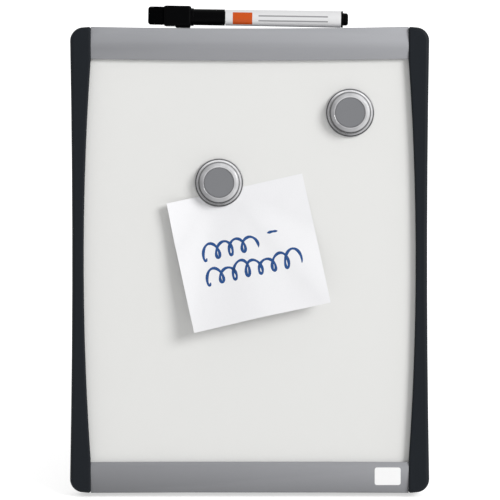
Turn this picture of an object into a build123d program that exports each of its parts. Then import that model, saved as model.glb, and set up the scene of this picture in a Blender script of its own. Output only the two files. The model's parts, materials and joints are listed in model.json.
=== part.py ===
# A small magnetic whiteboard on a folding desk easel, with two round magnets, a pinned note and a marker.
#
# The row frame stands on the desk: +Z up, the writing face towards -Y. Millimetres and degrees.
# Three working frames hang in it:
#   board  x = right, y = up the board, z = out of the writing face (called "proud" below)
#   leg    x = right, y = down the leg, z = out of the leg's rear face
#   pen    x = along the marker towards its end plug, z = out of the writing face
import os
from math import atan, cos, degrees, radians, sin, tan

from build123d import *

os.makedirs("parts", exist_ok=True)

# ---------------------------------------------------------------- driving dimensions
board_width = 216.0
board_height = 280.0
board_lean = 15.0  # back from the vertical
leg_splay = 15.0  # leg's angle behind the vertical when open

# frame
top_rail_width = 19.3
bottom_rail_width = 18.5
side_rail_end_width = 12.5
side_rail_waist_width = 6.9
side_bow = 1.4  # how far the waist of a side rail lies inside its ends
side_end_straight = 20.0  # of its inner edge, beside the top and bottom rails
top_bow = 1.0
bottom_bow = 0.3
top_ridge_share = 0.6  # the ridge's place across a rail's width
bottom_ridge_share = 0.84
frame_back = 9.0  # back of the frame behind the writing face
side_proud = 4.6  # front of the side rails in front of the writing face
ridge_proud = 4.0
lip_proud = 2.8
outer_edge_proud = 2.2
corner_radius = 8.0
corner_drop = 1.0
side_front_round = 2.2
side_inner_bevel = 0.8
rail_wall = 1.5
back_lip = 16.0

# panel that the frame holds
sheet_thickness = 0.6
core_thickness = 4.6
backing_thickness = 0.8
side_capture = 5.0  # how far the panel's side edges lie inside the board's outline
end_capture = 8.5
panel_fit = 0.05
panel_edge_fit = 0.2
joint_gap = 0.05  # between a side rail and the end of a top or bottom rail

# spigots that join the rails, a push fit
chamber_depth = 4.7
chamber_floor = 7.4  # behind the writing face
chamber_roof = 1.3  # in front of the writing face
spigot_length = 20.0
spigot_fit = 0.15

# hinge
hinge_height = 34.0  # above the board's middle
bracket_base_thickness = 3.0
bracket_base_width = 80.0
bracket_base_height = 28.0
bracket_corner_bevel = 3.0
ear_thickness = 4.0
ear_radius = 5.6
ear_foot = 20.0
hinge_standoff = 6.0  # hinge axis behind the bracket's base
pin_radius = 1.5
pin_head_radius = 2.7
pin_head_thickness = 1.2
pin_tail = 1.2  # beyond the far ear
pin_press = 0.02
pin_run = 0.07
screw_head_radius = 2.1
screw_head_height = 1.2
screw_shank_radius = 1.0
screw_length = 6.0
screw_fit = 0.03

# support leg
knuckle_radius = 4.5
knuckle_half_length = 23.0
leg_ear_gap = 0.4
leg_top_width = 44.0
leg_bottom_width = 70.0
leg_side_bow = 2.5
leg_skin = 2.5
rib_depth = 3.0
rib_thickness = 2.0
cross_ribs = 4
stop_gap = 0.1
stop_height = 7.0
stop_thickness = 3.4
stop_inner_end = 13.0
stop_outer_end = 21.5
grip_groove_width = 1.6
grip_groove_depth = 0.6
grip_groove_pitch = 4.0
grip_grooves = 4
grip_width = 26.0
grip_height = 34.0  # lowest groove above the desk, along the leg

# rubber shoe and feet
shoe_height = 14.0
shoe_sole = 4.0
shoe_wall = 1.8
foot_width = 22.0
foot_inset = 41.0  # middle of a foot from the board's side
foot_rise = 14.0
foot_toe = 2.0  # start of the sole behind the frame
foot_depth = 6.0
desk_gap = 0.3  # under the frame, which stands on its feet

# round magnets
magnet_radius = 14.6
magnet_step_radius = 12.7
magnet_rim_radius = 8.9
magnet_flange = 2.2
magnet_height = 7.2
magnet_bevel = 0.6
magnet_seat = 0.35
disc_thickness = 0.8
disc_depth = 0.9  # below the rim
disc_fit = 0.05
right_magnet_inset = (47.7, 51.7)  # from the board's right and top edges
pinning_magnet_place = (-17.5, 42.7)  # from the middle of the note

# note
note_width = 84.5
note_height = 80.0
note_thickness = 0.25
note_place = (-0.9, 3.6)
note_turn = 12.7
note_seat = 0.05
note_fold_turn = 35.0  # of the fold line, from the note's lower edge
note_fold_start = -10.3  # of the bend, from the note's middle towards its lower left corner
note_bend_run = 16.0  # length of paper that bends
note_bend_radius = 90.0

# marker, measured along its axis from the joint of cap and barrel
barrel_length = 69.6
barrel_radius = 5.0
barrel_bore = 3.8
cap_radius = 4.92
cap_bore = 4.2
cap_length = 31.0
cap_end_wall = 1.6
cap_seat = 0.2
marker_left_contact = -40.0  # where the magnet pad meets the top rail
marker_right_contact = 50.0  # where the barrel meets it
marker_joint = -14.7  # where cap and barrel meet, from the middle of the board
marker_seat = 0.5
nose_tip_radius = 2.1
nose_length = 13.0
nose_taper = 3.0
nose_plug_length = 9.0
nib_radius = 1.4
nib_bevel = 0.5
nib_reach = 18.0
nib_tail = 1.0  # behind the nose plug, up to the reservoir
reservoir_radius = 3.2
reservoir_gap = 2.6  # to the end plug
plug_flange = 1.2
plug_radius = 3.75
plug_length = 3.2
plug_tail = 8.0
pen_fit = 0.03

# eraser block on the cap
block_length = 16.6
block_start = 20.4  # end of the cap's bare tube
block_top = 6.75
block_bottom = 5.7
block_depth = 12.0
block_round = 1.2
pad_drop = 6.5
pad_length = 9.2
pad_start = 0.4
felt_length = 9.4
felt_socket = 3.0
felt_top = 5.9
felt_bottom = 4.9
felt_depth = 9.8
felt_round = 1.8
cap_magnet_length = 6.4
cap_magnet_width = 5.0
cap_magnet_thickness = 1.0
cap_magnet_recess = 0.1
cap_magnet_fit = 0.05

# ---------------------------------------------------------------- places worked out from them
half_width = board_width / 2
half_height = board_height / 2
lean = radians(board_lean)
splay = radians(leg_splay)
panel_thickness = sheet_thickness + core_thickness + backing_thickness
panel_half_width = half_width - side_capture
panel_half_height = half_height - end_capture
rail_half_length = half_width - side_rail_end_width
bow_end = half_height - side_end_straight

bracket_face = panel_thickness + bracket_base_thickness
hinge_depth = bracket_face + hinge_standoff

# The frame's lower back edge hangs just over the desk, and the origin is under the middle of the box.
board_up = half_height * cos(lean) + frame_back * sin(lean) + desk_gap
hinge_up = board_up + hinge_height * cos(lean) - hinge_depth * sin(lean)
front_reach = half_height * sin(lean) + (side_proud - side_front_round / 2) * cos(lean)
leg_thickness_out = leg_skin + shoe_wall
rear_reach = (
    hinge_height * sin(lean)
    + hinge_depth * cos(lean)
    + hinge_up * tan(splay)
    + leg_thickness_out / cos(splay)
)
board_back = (front_reach - rear_reach) / 2

board = Plane(origin=(0, board_back, board_up), x_dir=(1, 0, 0), z_dir=(0, -cos(lean), sin(lean)))


def board_point(x, y, proud=0.0):
    """A point of the board's frame, in the row frame."""
    return board.from_local_coords(Vector(x, y, proud))


hinge_point = board_point(0, hinge_height, -hinge_depth)
leg = Plane(origin=hinge_point, x_dir=(1, 0, 0), z_dir=(0, cos(splay), sin(splay)))
leg_reach = hinge_point.Z / cos(splay)  # from the hinge to the desk, down the leg

# Section planes: x = up the board, y = proud, extruded along +X.
hinge_section = Plane(origin=hinge_point, x_dir=board.y_dir, z_dir=board.x_dir)
board_section = Plane(origin=board_point(0, 0), x_dir=board.y_dir, z_dir=board.x_dir)


def top_edge(x):
    """Height of the top rail's upper edge at x, in the board's frame."""
    return half_height - top_bow * (1 - (x / rail_half_length) ** 2)


left_axis_height = top_edge(marker_left_contact) + marker_seat + pad_drop
right_axis_height = top_edge(marker_right_contact) + marker_seat + barrel_radius
marker_slope = atan((left_axis_height - right_axis_height) / (marker_right_contact - marker_left_contact))
marker_joint_height = left_axis_height - (marker_joint - marker_left_contact) * tan(marker_slope)
marker_proud = (outer_edge_proud - frame_back) / 2
pen_direction = board.x_dir * cos(marker_slope) - board.y_dir * sin(marker_slope)
pen = Plane(
    origin=board_point(marker_joint, marker_joint_height, marker_proud),
    x_dir=pen_direction,
    z_dir=board.z_dir,
)
pen_axis = Axis(pen.origin, pen.x_dir)


# ---------------------------------------------------------------- shared shapes
def side_outline(side):
    """Plan of a side rail: bowed edges and rounded corners."""
    outer = side * half_width
    inner = side * rail_half_length
    waist_outer = side * (half_width - side_bow)
    waist_inner = side * (half_width - side_bow - side_rail_waist_width)
    shoulder = half_height - corner_drop
    with BuildSketch() as outline:
        with BuildLine():
            Line((inner, -half_height), (inner, -bow_end))
            ThreePointArc((inner, -bow_end), (waist_inner, 0), (inner, bow_end))
            Line((inner, bow_end), (inner, half_height))
            Line((inner, half_height), (outer, shoulder))
            ThreePointArc((outer, shoulder), (waist_outer, 0), (outer, -shoulder))
            Line((outer, -shoulder), (inner, -half_height))
        make_face()
        corners = outline.vertices().filter_by(lambda corner: abs(corner.X - outer) < side_bow / 2)
        fillet(corners, corner_radius)
    return outline.sketch


def side_space(side):
    """Plan of all that lies outside a side rail's inner edge, with the joint gap."""
    inner = side * (rail_half_length - joint_gap)
    waist_inner = side * (half_width - side_bow - side_rail_waist_width - joint_gap)
    beyond = side * (half_width + side_rail_end_width)
    above = half_height + side_rail_end_width
    with BuildSketch() as space:
        with BuildLine():
            ThreePointArc((inner, -bow_end), (waist_inner, 0), (inner, bow_end))
            Polyline(
                (inner, bow_end), (inner, above), (beyond, above), (beyond, -above),
                (inner, -above), (inner, -bow_end),
            )
        make_face()
    return space.sketch


def rail_section(inward, width, ridge, bow):
    """Hollow C section of a top or bottom rail. inward is -1 with the panel below the rail, +1 above."""
    slot = end_capture - bow - panel_edge_fit
    slot_back = -panel_thickness - panel_fit
    with BuildSketch() as section:
        with BuildLine():
            Polyline(
                (0, -frame_back),
                (0, outer_edge_proud),
                (inward * ridge, ridge_proud),
                (inward * width, lip_proud),
                (inward * width, panel_fit),
                (inward * slot, panel_fit),
                (inward * slot, slot_back),
                (inward * back_lip, slot_back),
                (inward * back_lip, -frame_back),
                close=True,
            )
        make_face()
        outer_corners = section.vertices().filter_by(lambda corner: abs(corner.X) < rail_wall / 2)
        fillet(outer_corners.sort_by(Axis.Y)[-1], rail_wall / 2)
        chamber_middle = inward * (rail_wall + chamber_depth / 2)
        with Locations((chamber_middle, (chamber_roof - chamber_floor) / 2)):
            Rectangle(chamber_depth, chamber_roof + chamber_floor, mode=Mode.SUBTRACT)
    return section.sketch


def screw(place, direction):
    """Pan head screw. place is under the middle of its head, and direction points down the shank."""
    with BuildPart() as body:
        with BuildSketch(Plane(origin=place, z_dir=direction)):
            Circle(screw_shank_radius)
        extrude(amount=screw_length)
        with BuildSketch(Plane(origin=place, z_dir=direction)):
            Circle(screw_head_radius)
        extrude(amount=-screw_head_height)
    return body.part


def screw_hole(place, direction):
    """The space that a screw's shank needs, with its fit all round."""
    with BuildPart() as space:
        with BuildSketch(Plane(origin=place, z_dir=direction)):
            Circle(screw_shank_radius + screw_fit)
        extrude(amount=screw_length + screw_fit)
    return space.part


def write(part, name):
    part.label = name
    export_step(part, f"parts/{name}.step")


# ---------------------------------------------------------------- panel
panel_width = 2 * panel_half_width
panel_height = 2 * panel_half_height
ear_outer_face = knuckle_half_length + leg_ear_gap + ear_thickness
bracket_screw_x = (ear_outer_face + bracket_base_width / 2) / 2
bracket_screw_places = [board_point(side * bracket_screw_x, hinge_height, -bracket_face) for side in (-1, 1)]
bracket_screw_holes = [screw_hole(place, board.z_dir) for place in bracket_screw_places]

with BuildPart() as writing_sheet:
    with BuildSketch(board):
        Rectangle(panel_width, panel_height)
    extrude(amount=-sheet_thickness)

with BuildPart() as board_core:
    with BuildSketch(board.offset(-sheet_thickness)):
        Rectangle(panel_width, panel_height)
    extrude(amount=-core_thickness)
    add(bracket_screw_holes, mode=Mode.SUBTRACT)

with BuildPart() as backing_sheet:
    with BuildSketch(board.offset(-sheet_thickness - core_thickness)):
        Rectangle(panel_width, panel_height)
    extrude(amount=-backing_thickness)
    add(bracket_screw_holes, mode=Mode.SUBTRACT)

# ---------------------------------------------------------------- frame
# The panel and its fit, cut from every rail.
with BuildPart() as panel_space:
    with BuildSketch(board.offset(panel_fit)):
        Rectangle(panel_width + 2 * panel_edge_fit, panel_height + 2 * panel_edge_fit)
    extrude(amount=-(panel_thickness + 2 * panel_fit))

# The chamber bends with its rail, so the straight spigot is slimmer by the bend along its length.
spigot_start = rail_half_length - spigot_length
chamber_bend = top_bow * (1 - (spigot_start / rail_half_length) ** 2)
spigot_height = chamber_depth - chamber_bend - 2 * spigot_fit
spigot_depth = chamber_roof + chamber_floor - 2 * spigot_fit
spigot_rise = half_height - rail_wall - chamber_bend - spigot_fit - spigot_height / 2


def inner_edges(front):
    """The edges of a side rail's front face that face the panel: a bowed one between two straight ones."""
    reach = half_width - side_bow - side_rail_waist_width / 2
    height = half_height - side_front_round
    middles = [(edge, board.to_local_coords(edge @ 0.5)) for edge in front.edges()]
    return ShapeList(edge for edge, middle in middles if abs(middle.X) < reach and abs(middle.Y) < height)


def side_rail(side):
    """Moulded side rail with a rounded front, the panel's slot and two spigots."""
    depth = frame_back + side_proud
    with BuildPart() as rail:
        with BuildSketch(board.offset(-frame_back)):
            add(side_outline(side))
        extrude(amount=depth)
        front = rail.faces().sort_by(Axis(board.origin, board.z_dir))[-1]
        fillet(front.edges() - inner_edges(front), side_front_round)
        front = rail.faces().sort_by(Axis(board.origin, board.z_dir))[-1]
        chamfer(inner_edges(front), side_inner_bevel)
        add(panel_space.part, mode=Mode.SUBTRACT)
        spigot_end = half_width - side_rail_end_width / 2
        for end in (-1, 1):
            with BuildSketch(board.offset(-chamber_floor + spigot_fit)) as spigot:
                with Locations((side * (spigot_start + spigot_end) / 2, end * spigot_rise)):
                    Rectangle(spigot_end - spigot_start, spigot_height)
                tip = spigot.vertices().sort_by(lambda corner: abs(corner.X))[0:2]
                chamfer(tip, spigot_height / 4)
            extrude(amount=spigot_depth)
    return rail.part


def cross_rail(end, width, ridge, bow):
    """Top (+1) or bottom (-1) rail: a hollow section swept along its bow and trimmed by the side rails."""
    spare = side_rail_end_width / 4
    spare_height = half_height + bow * ((1 + spare / rail_half_length) ** 2 - 1)
    with BuildPart() as rail:
        with BuildLine(board) as edge:
            ThreePointArc(
                (-rail_half_length - spare, end * spare_height),
                (0, end * (half_height - bow)),
                (rail_half_length + spare, end * spare_height),
            )
        with BuildSketch(Plane(origin=edge.line @ 0, x_dir=board.y_dir, z_dir=edge.line % 0)):
            add(rail_section(-end, width, ridge, bow))
        sweep()
        for side in (-1, 1):
            with BuildSketch(board.offset(-frame_back)):
                add(side_space(side))
            extrude(amount=frame_back + side_proud, mode=Mode.SUBTRACT)
    return rail.part


top_rail = cross_rail(1, top_rail_width, top_rail_width * top_ridge_share, top_bow)
bottom_rail = cross_rail(-1, bottom_rail_width, bottom_rail_width * bottom_ridge_share, bottom_bow)
left_side_rail = side_rail(-1)
right_side_rail = side_rail(1)

# The sole of each foot lies on the desk, and its front end hides behind the frame.
foot_root = -frame_back
foot_root_height = foot_toe - half_height


def desk_height(proud):
    """Height of the desk in the board's frame, at a distance in front of the writing face."""
    return -(board_up + proud * sin(lean)) / cos(lean)


with BuildPart() as frame_feet:
    for side in (-1, 1):
        foot_middle = side * (half_width - foot_inset)
        with BuildSketch(board_section.offset(foot_middle - foot_width / 2)):
            with BuildLine():
                Polyline(
                    (foot_root_height, foot_root),
                    (desk_height(foot_root - foot_toe), foot_root - foot_toe),
                    (desk_height(foot_root - foot_depth), foot_root - foot_depth),
                    (foot_root_height + foot_rise / 2, foot_root - foot_depth),
                    (foot_root_height + foot_rise, foot_root),
                    close=True,
                )
            make_face()
        extrude(amount=foot_width)

# ---------------------------------------------------------------- hinge
ear_inner_face = ear_outer_face - ear_thickness

with BuildPart() as hinge_bracket:
    with BuildSketch(board.offset(-panel_thickness)) as base:
        with Locations((0, hinge_height)):
            Rectangle(bracket_base_width, bracket_base_height)
        chamfer(base.vertices(), bracket_corner_bevel)
    extrude(amount=-bracket_base_thickness)
    # two rounded ears that carry the pin
    for ear_start in (ear_inner_face, -ear_outer_face):
        with BuildSketch(hinge_section.offset(ear_start)):
            with Locations((0, hinge_standoff + bracket_base_thickness / 2)):
                Rectangle(ear_foot, bracket_base_thickness)
            Circle(ear_radius)
            make_hull()
            Circle(pin_radius + pin_press, mode=Mode.SUBTRACT)
        extrude(amount=ear_thickness)
    add(bracket_screw_holes, mode=Mode.SUBTRACT)

with BuildPart() as hinge_pin:
    with BuildSketch(hinge_section.offset(-ear_outer_face)):
        Circle(pin_radius)
    extrude(amount=2 * ear_outer_face + pin_tail)
    chamfer(hinge_pin.edges().sort_by(Axis.X)[-1], pin_radius / 4)
    with BuildSketch(hinge_section.offset(-ear_outer_face)):
        Circle(pin_head_radius)
    extrude(amount=-pin_head_thickness)

with BuildPart() as bracket_screws:
    for place in bracket_screw_places:
        add(screw(place, board.z_dir))

# ---------------------------------------------------------------- support leg
sole_end = leg_reach + leg_thickness_out * tan(splay)
leg_end = leg_reach - shoe_sole - leg_thickness_out * tan(splay)
rib_end = leg_reach - shoe_height - rib_thickness


def leg_plan(start, end, inset=0.0):
    """Plan of the leg from start to end, wider at the desk, with sides that bow in. inset narrows it."""
    top_half = leg_top_width / 2 - inset
    bottom_half = leg_bottom_width / 2 - inset
    middle_half = (top_half + bottom_half) / 2 - leg_side_bow
    with BuildSketch() as outline:
        with BuildLine():
            Line((-top_half, 0), (top_half, 0))
            ThreePointArc((top_half, 0), (middle_half, sole_end / 2), (bottom_half, sole_end))
            Line((bottom_half, sole_end), (-bottom_half, sole_end))
            ThreePointArc((-bottom_half, sole_end), (-middle_half, sole_end / 2), (-top_half, 0))
        make_face()
        with Locations((0, (start + end) / 2)):
            Rectangle(2 * leg_bottom_width, end - start, mode=Mode.INTERSECT)
    return outline.sketch


with BuildPart() as support_leg:
    # skin at the rear, from the knuckle to the shoe
    with BuildSketch(leg):
        add(leg_plan(0, leg_end))
    extrude(amount=leg_skin)
    # ribs on the side that faces the board: a rim, one middle rib and cross ribs
    with BuildSketch(leg):
        add(leg_plan(0, rib_end))
        add(leg_plan(0, rib_end - rib_thickness, rib_thickness), mode=Mode.SUBTRACT)
        with Locations((0, rib_end / 2)):
            Rectangle(rib_thickness, rib_end)
        rib_pitch = (rib_end - knuckle_radius) / (cross_ribs + 1)
        for number in range(1, cross_ribs + 1):
            with Locations((0, knuckle_radius + number * rib_pitch)):
                Rectangle(leg_bottom_width, rib_thickness)
        add(leg_plan(0, rib_end), mode=Mode.INTERSECT)
    extrude(amount=-rib_depth)
    # finger grip grooves across the skin
    with BuildSketch(leg.offset(leg_skin)):
        for number in range(grip_grooves):
            with Locations((0, leg_reach - grip_height - number * grip_groove_pitch)):
                Rectangle(grip_width, grip_groove_width)
    extrude(amount=-grip_groove_depth, mode=Mode.SUBTRACT)
    # knuckle, and the two lugs that stop the open leg on the bracket's base
    with BuildSketch(hinge_section.offset(-knuckle_half_length)):
        Circle(knuckle_radius)
    extrude(amount=2 * knuckle_half_length)
    for side in (-1, 1):
        stop_start = stop_inner_end if side > 0 else -stop_outer_end
        stop_face = hinge_standoff - stop_gap
        with BuildSketch(hinge_section.offset(stop_start)):
            with BuildLine():
                Polyline(
                    (0, stop_face),
                    (stop_height, stop_face),
                    (stop_height, stop_face - stop_thickness),
                    (0, -knuckle_radius / 2),
                    close=True,
                )
            make_face()
        extrude(amount=stop_outer_end - stop_inner_end)
    with BuildSketch(hinge_section.offset(-knuckle_half_length)):
        Circle(pin_radius + pin_run)
    extrude(amount=2 * knuckle_half_length, mode=Mode.SUBTRACT)

shoe_start = leg_reach - shoe_height
with BuildPart() as leg_shoe:
    with BuildSketch(leg.offset(-shoe_wall)):
        add(leg_plan(shoe_start, sole_end, -shoe_wall))
    extrude(amount=leg_skin + 2 * shoe_wall)
    split(bisect_by=Plane.XY, keep=Keep.TOP)
    add(support_leg.part, mode=Mode.SUBTRACT)

# ---------------------------------------------------------------- round magnets
magnet_places = {
    "left": (note_place[0] + pinning_magnet_place[0], note_place[1] + pinning_magnet_place[1]),
    "right": (half_width - right_magnet_inset[0], half_height - right_magnet_inset[1]),
}
disc_top = magnet_height - disc_depth
disc_radius = magnet_rim_radius - disc_fit
for magnet_name, magnet_place in magnet_places.items():
    magnet_base = Plane(origin=board_point(*magnet_place), x_dir=board.x_dir, z_dir=board.z_dir)

    # clear ring: a flange on the board and a stepped grip with a bevelled edge
    with BuildPart() as magnet_shell:
        with BuildSketch(magnet_base.offset(magnet_seat)):
            Circle(magnet_radius)
        extrude(amount=magnet_flange - magnet_seat)
        with BuildSketch(magnet_base.offset(magnet_flange)):
            Circle(magnet_step_radius)
        extrude(amount=magnet_height - magnet_flange)
        chamfer(magnet_shell.edges().sort_by(Axis(magnet_base.origin, board.z_dir))[-1], magnet_bevel)
        with BuildSketch(magnet_base.offset(magnet_seat)):
            Circle(magnet_rim_radius)
        extrude(amount=magnet_height, mode=Mode.SUBTRACT)

    with BuildPart() as magnet_disc:
        with BuildSketch(magnet_base.offset(disc_top - disc_thickness)):
            Circle(disc_radius)
        extrude(amount=disc_thickness)

    with BuildPart() as magnet_core:
        with BuildSketch(magnet_base.offset(magnet_seat)):
            Circle(disc_radius)
        extrude(amount=disc_top - disc_thickness - magnet_seat)

    write(magnet_shell.part, f"{magnet_name}_magnet_shell")
    write(magnet_disc.part, f"{magnet_name}_magnet_disc")
    write(magnet_core.part, f"{magnet_name}_magnet_core")

# ---------------------------------------------------------------- note
turn = radians(note_turn)
note_right = board.x_dir * cos(turn) + board.y_dir * sin(turn)
note_up = board.y_dir * cos(turn) - board.x_dir * sin(turn)
fold_turn = radians(note_fold_turn)
fold_way = -note_right * sin(fold_turn) - note_up * cos(fold_turn)  # across the fold line, down to the left
note_middle = board_point(*note_place, note_seat)
note_section = Plane(origin=note_middle, x_dir=fold_way, z_dir=fold_way.cross(board.z_dir))
note_reach = note_width  # beyond any corner of the note
bend_angle = note_bend_run / note_bend_radius


def folded(across, along):
    """Plan of a point of the note once it is folded: its distances across the fold line and along it."""
    distance = -across * sin(fold_turn) - along * cos(fold_turn)
    if distance > note_fold_start:
        bent = min(distance - note_fold_start, note_bend_run)
        straight = distance - note_fold_start - bent
        bend_plan = note_bend_radius * sin(bent / note_bend_radius)
        distance = note_fold_start + bend_plan + straight * cos(bend_angle)
    return distance, across * cos(fold_turn) - along * sin(fold_turn)


# The paper lies flat under its magnet. Beyond the fold line it bends, and runs straight off the board.
note_corners = [(-1, 1), (-1, -1), (1, -1), (1, 1)]
note_outline = []
for corner, following in zip(note_corners, note_corners[1:] + note_corners[:1]):
    for share in (0, 0.25, 0.5, 0.75):
        across, along = (start + (end - start) * share for start, end in zip(corner, following))
        note_outline.append(folded(across * note_width / 2, along * note_height / 2))

with BuildPart() as note_sheet:
    with BuildSketch(note_section):
        with BuildLine():
            bend_middle = (note_fold_start, note_bend_radius)
            tail = note_reach - note_fold_start - note_bend_run
            under = CenterArc(bend_middle, note_bend_radius, -90, degrees(bend_angle))
            over = CenterArc(bend_middle, note_bend_radius - note_thickness, -90, degrees(bend_angle))
            Polyline(under @ 1, under @ 1 + (under % 1) * tail, over @ 1 + (over % 1) * tail, over @ 1)
            Polyline(over @ 0, (-note_reach, note_thickness), (-note_reach, 0), under @ 0)
        make_face()
    extrude(amount=note_reach, both=True)
    with BuildSketch(Plane(origin=note_middle, x_dir=fold_way, z_dir=board.z_dir)):
        Polygon(*note_outline, align=None)
    extrude(amount=note_reach, mode=Mode.INTERSECT)

# ---------------------------------------------------------------- marker
with BuildPart() as marker_barrel:
    with BuildSketch(pen):
        with Locations((barrel_length / 2, (barrel_bore + barrel_radius) / 2)):
            Rectangle(barrel_length, barrel_radius - barrel_bore)
    revolve(axis=pen_axis)

plug_start = barrel_length - plug_tail
plug_end = barrel_length + plug_flange + plug_length
with BuildPart() as marker_end_plug:
    with BuildSketch(pen):
        with BuildLine():
            Polyline(
                (plug_start, 0),
                (plug_start, barrel_bore - pen_fit),
                (barrel_length, barrel_bore - pen_fit),
                (barrel_length, barrel_radius),
                (barrel_length + plug_flange, barrel_radius),
                (barrel_length + plug_flange, plug_radius),
                (plug_end, plug_radius),
                (plug_end, 0),
                close=True,
            )
        make_face()
    revolve(axis=pen_axis)

with BuildPart() as marker_nose:
    with BuildSketch(pen):
        with BuildLine():
            Polyline(
                (nose_plug_length, nib_radius + pen_fit),
                (nose_plug_length, barrel_bore - pen_fit),
                (nose_taper - nose_length, barrel_bore - pen_fit),
                (-nose_length, nose_tip_radius),
                (-nose_length, nib_radius + pen_fit),
                close=True,
            )
        make_face()
    revolve(axis=pen_axis)

# The nib runs through the nose, and its rear end meets the reservoir.
reservoir_start = nose_plug_length + nib_tail
with BuildPart() as marker_nib:
    with BuildSketch(pen):
        with Locations(((reservoir_start - nib_reach) / 2, nib_radius / 2)):
            Rectangle(reservoir_start + nib_reach, nib_radius)
    revolve(axis=pen_axis)
    chamfer(marker_nib.edges().sort_by(pen_axis)[0], nib_bevel)

reservoir_end = plug_start - reservoir_gap
with BuildPart() as marker_reservoir:
    with BuildSketch(pen):
        with Locations(((reservoir_start + reservoir_end) / 2, reservoir_radius / 2)):
            Rectangle(reservoir_end - reservoir_start, reservoir_radius)
    revolve(axis=pen_axis)

with BuildPart() as marker_cap:
    with BuildSketch(pen):
        with BuildLine():
            Polyline(
                (-cap_seat, cap_bore),
                (-cap_seat, cap_radius),
                (-cap_length, cap_radius),
                (-cap_length, 0),
                (cap_end_wall - cap_length, 0),
                (cap_end_wall - cap_length, cap_bore),
                close=True,
            )
        make_face()
    revolve(axis=pen_axis)



def across_cap(distance):
    """Section plane on the cap's side of the joint: x = proud, y = up, extruded towards the cap's end."""
    return Plane(origin=pen.origin - pen.x_dir * distance, x_dir=board.z_dir, z_dir=-pen.x_dir)


block_end = block_start + block_length
with BuildPart() as eraser_felt:
    with BuildSketch(across_cap(block_end - felt_socket)):
        with Locations((0, (felt_top - felt_bottom) / 2)):
            RectangleRounded(felt_depth, felt_top + felt_bottom, felt_round)
    extrude(amount=felt_length + felt_socket)

magnet_middle = block_start + pad_start + pad_length / 2
magnet_top = pad_drop - cap_magnet_recess - cap_magnet_thickness
cap_magnet_face = Plane(
    origin=pen.origin - pen.x_dir * magnet_middle - pen.y_dir * magnet_top, x_dir=pen.x_dir, z_dir=-pen.y_dir
)
with BuildPart() as cap_magnet:
    with BuildSketch(cap_magnet_face):
        Rectangle(cap_magnet_length, cap_magnet_width)
    extrude(amount=cap_magnet_thickness)

block_middle_height = (block_top - block_bottom) / 2
with BuildPart() as eraser_block:
    with BuildSketch(across_cap(block_start)):
        with Locations((0, block_middle_height)):
            RectangleRounded(block_depth, block_top + block_bottom, block_round)
    extrude(amount=block_length)
    with BuildSketch(across_cap(block_start + pad_start)):
        with Locations((0, -pad_drop / 2)):
            Rectangle(block_depth - 2 * block_round, pad_drop)
    extrude(amount=pad_length)
    # sockets: the cap's closed end on one side, the felt on the other, the magnet in the pad
    with BuildSketch(across_cap(block_start)):
        Circle(cap_radius + pen_fit)
    extrude(amount=cap_length - block_start, mode=Mode.SUBTRACT)
    add(eraser_felt.part, mode=Mode.SUBTRACT)
    with BuildSketch(cap_magnet_face):
        Rectangle(cap_magnet_length + 2 * cap_magnet_fit, cap_magnet_width + 2 * cap_magnet_fit)
    extrude(amount=2 * cap_magnet_thickness, mode=Mode.SUBTRACT)

write(writing_sheet.part, "writing_sheet")
write(board_core.part, "board_core")
write(backing_sheet.part, "backing_sheet")
write(top_rail, "top_rail")
write(bottom_rail, "bottom_rail")
write(left_side_rail, "left_side_rail")
write(right_side_rail, "right_side_rail")
write(frame_feet.part, "frame_feet")
write(hinge_bracket.part, "hinge_bracket")
write(hinge_pin.part, "hinge_pin")
write(bracket_screws.part, "bracket_screws")
write(support_leg.part, "support_leg")
write(leg_shoe.part, "leg_shoe")
write(note_sheet.part, "note_sheet")
write(marker_barrel.part, "marker_barrel")
write(marker_end_plug.part, "marker_end_plug")
write(marker_nose.part, "marker_nose")
write(marker_nib.part, "marker_nib")
write(marker_reservoir.part, "marker_reservoir")
write(marker_cap.part, "marker_cap")
write(eraser_block.part, "eraser_block")
write(eraser_felt.part, "eraser_felt")
write(cap_magnet.part, "cap_magnet")

print("board origin", board.origin, "hinge", hinge_point)
print("marker joint", pen.origin, "direction", pen.x_dir)
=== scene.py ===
# %% [markdown]
# # A magnetic desk whiteboard on its easel
#
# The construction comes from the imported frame: every rigid piece is already at its real size and place. This
# script adds what the eye judges: finishes, soft edges, curled paper, glassy magnets and a printed marker.
# Each new piece is placed from the frame, so it sits on what carries it.

# %% Load the frame
import json
import math

import bmesh
import bpy
from mathutils import Matrix, Vector, noise
from mathutils.bvhtree import BVHTree


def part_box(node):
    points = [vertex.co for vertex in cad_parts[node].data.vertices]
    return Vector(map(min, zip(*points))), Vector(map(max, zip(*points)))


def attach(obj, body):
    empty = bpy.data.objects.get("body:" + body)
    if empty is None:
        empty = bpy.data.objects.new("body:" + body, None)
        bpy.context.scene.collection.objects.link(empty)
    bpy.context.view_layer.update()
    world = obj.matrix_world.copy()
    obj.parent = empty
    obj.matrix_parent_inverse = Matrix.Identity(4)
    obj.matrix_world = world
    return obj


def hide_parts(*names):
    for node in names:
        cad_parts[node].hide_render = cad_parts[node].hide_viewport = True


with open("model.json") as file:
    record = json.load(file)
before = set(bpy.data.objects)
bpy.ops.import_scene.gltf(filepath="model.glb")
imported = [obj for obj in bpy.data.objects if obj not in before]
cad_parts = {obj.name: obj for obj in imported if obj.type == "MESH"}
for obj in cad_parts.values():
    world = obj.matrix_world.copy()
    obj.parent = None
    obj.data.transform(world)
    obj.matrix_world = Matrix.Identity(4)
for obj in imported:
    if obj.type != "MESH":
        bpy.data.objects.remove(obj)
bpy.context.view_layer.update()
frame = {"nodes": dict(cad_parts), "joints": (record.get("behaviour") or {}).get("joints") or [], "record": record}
MM = 0.001
print("nodes in the frame:", len(frame["nodes"]))

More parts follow.
